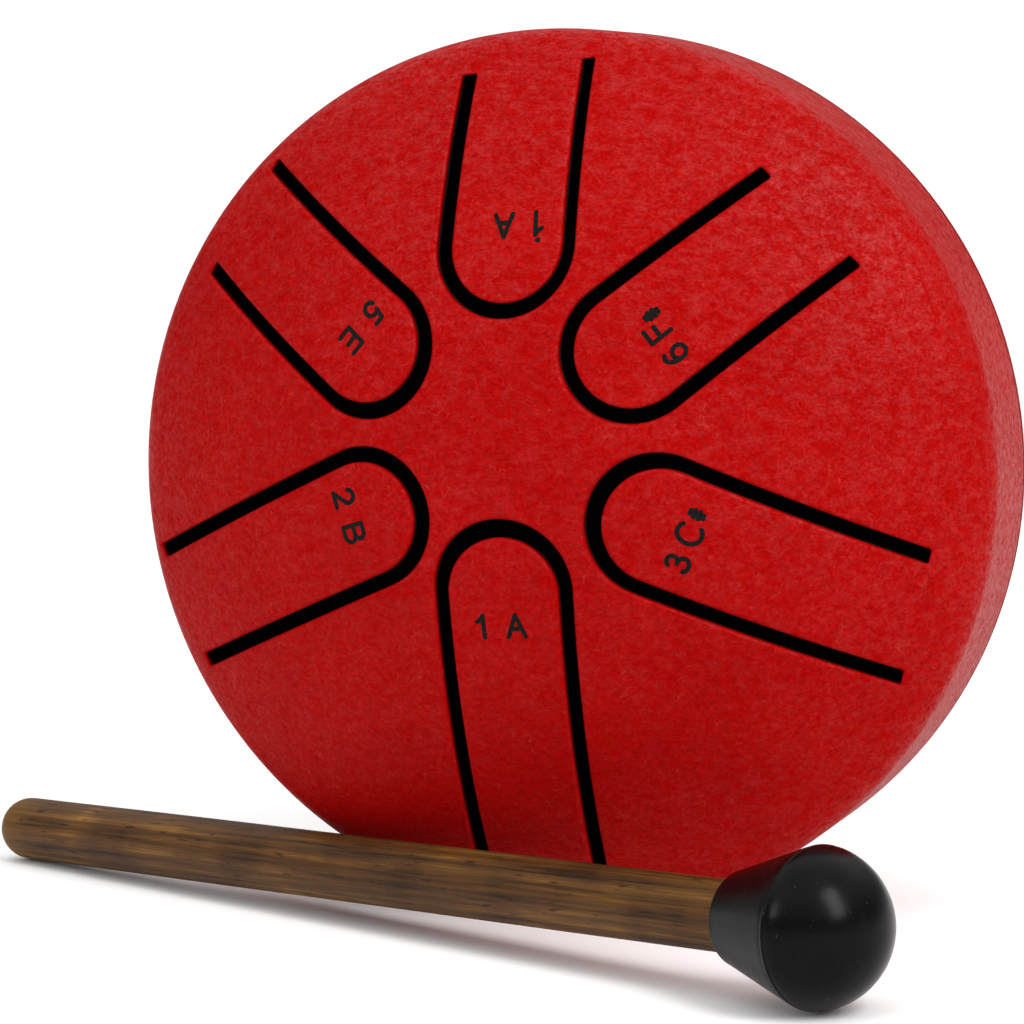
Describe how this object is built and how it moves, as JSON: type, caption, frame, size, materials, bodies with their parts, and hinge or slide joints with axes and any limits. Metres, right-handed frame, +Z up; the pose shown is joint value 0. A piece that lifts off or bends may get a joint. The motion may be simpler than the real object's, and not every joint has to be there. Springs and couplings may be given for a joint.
{
  "type": "steel tongue drum",
  "caption": "Round steel tongue drum with a domed playing face, free tongues cut by U-shaped slots, rubber feet, and a rubber-headed mallet.",
  "frame": {"origin": "middle of the footprint of drum and mallet, on the floor that the drum's rim and the mallet rest on", "axes": "+Z up; the playing face looks along -Y and the rubber feet point along +Y; +X is to the right of someone who looks at the face"},
  "size_m": [0.1042, 0.0728, 0.08],
  "materials": {
    "powder_coat": "red textured powder coat, satin",
    "foot_rubber": "matt black",
    "bamboo": "dark stained bamboo, satin",
    "head_rubber": "black, semi-gloss"
  },
  "bodies": {
    "drum": {"top_shell": "powder_coat", "bottom_shell": "powder_coat", "foot_top": "foot_rubber", "foot_left": "foot_rubber", "foot_right": "foot_rubber"},
    "mallet": {"mallet_shaft": "bamboo", "mallet_head": "head_rubber"},
    "tongue_low_a": {"tongue_low_a": "powder_coat"},
    "tongue_b": {"tongue_b": "powder_coat"},
    "tongue_c_sharp": {"tongue_c_sharp": "powder_coat"},
    "tongue_e": {"tongue_e": "powder_coat"},
    "tongue_f_sharp": {"tongue_f_sharp": "powder_coat"},
    "tongue_high_a": {"tongue_high_a": "powder_coat"}
  },
  "joints": [
    {"name": "tongue_low_a_flex", "type": "hinge", "parent": "drum", "child": "tongue_low_a", "pos_m": [0.01107, 0.0027, 0.00505], "axis": [1, 0, 0], "range_deg": [-1, 1], "stiffness_Nm_per_rad": 0.5},
    {"name": "tongue_b_flex", "type": "hinge", "parent": "drum", "child": "tongue_b", "pos_m": [-0.02333, 0.00433, 0.02807], "axis": [0.3891, 0, -0.9212], "range_deg": [-1, 1], "stiffness_Nm_per_rad": 0.5},
    {"name": "tongue_c_sharp_flex", "type": "hinge", "parent": "drum", "child": "tongue_c_sharp", "pos_m": [0.04545, 0.00305, 0.02794], "axis": [0.25, 0, 0.9682], "range_deg": [-1, 1], "stiffness_Nm_per_rad": 0.5},
    {"name": "tongue_e_flex", "type": "hinge", "parent": "drum", "child": "tongue_e", "pos_m": [-0.01646, 0.00415, 0.06372], "axis": [-0.5351, 0, -0.8448], "range_deg": [-1, 1], "stiffness_Nm_per_rad": 0.5},
    {"name": "tongue_f_sharp_flex", "type": "hinge", "parent": "drum", "child": "tongue_f_sharp", "pos_m": [0.03692, 0.00195, 0.06287], "axis": [-0.7027, 0, 0.7115], "range_deg": [-1, 1], "stiffness_Nm_per_rad": 0.5},
    {"name": "tongue_high_a_flex", "type": "hinge", "parent": "drum", "child": "tongue_high_a", "pos_m": [0.01107, 0.00374, 0.0765], "axis": [-0.9944, 0, -0.106], "range_deg": [-1, 1], "stiffness_Nm_per_rad": 0.5},
    {"name": "mallet_lift_off", "type": "slide", "parent": "drum", "child": "mallet", "axis": [0, -1, 0], "range_m": [0, 0.12]}
  ]
}
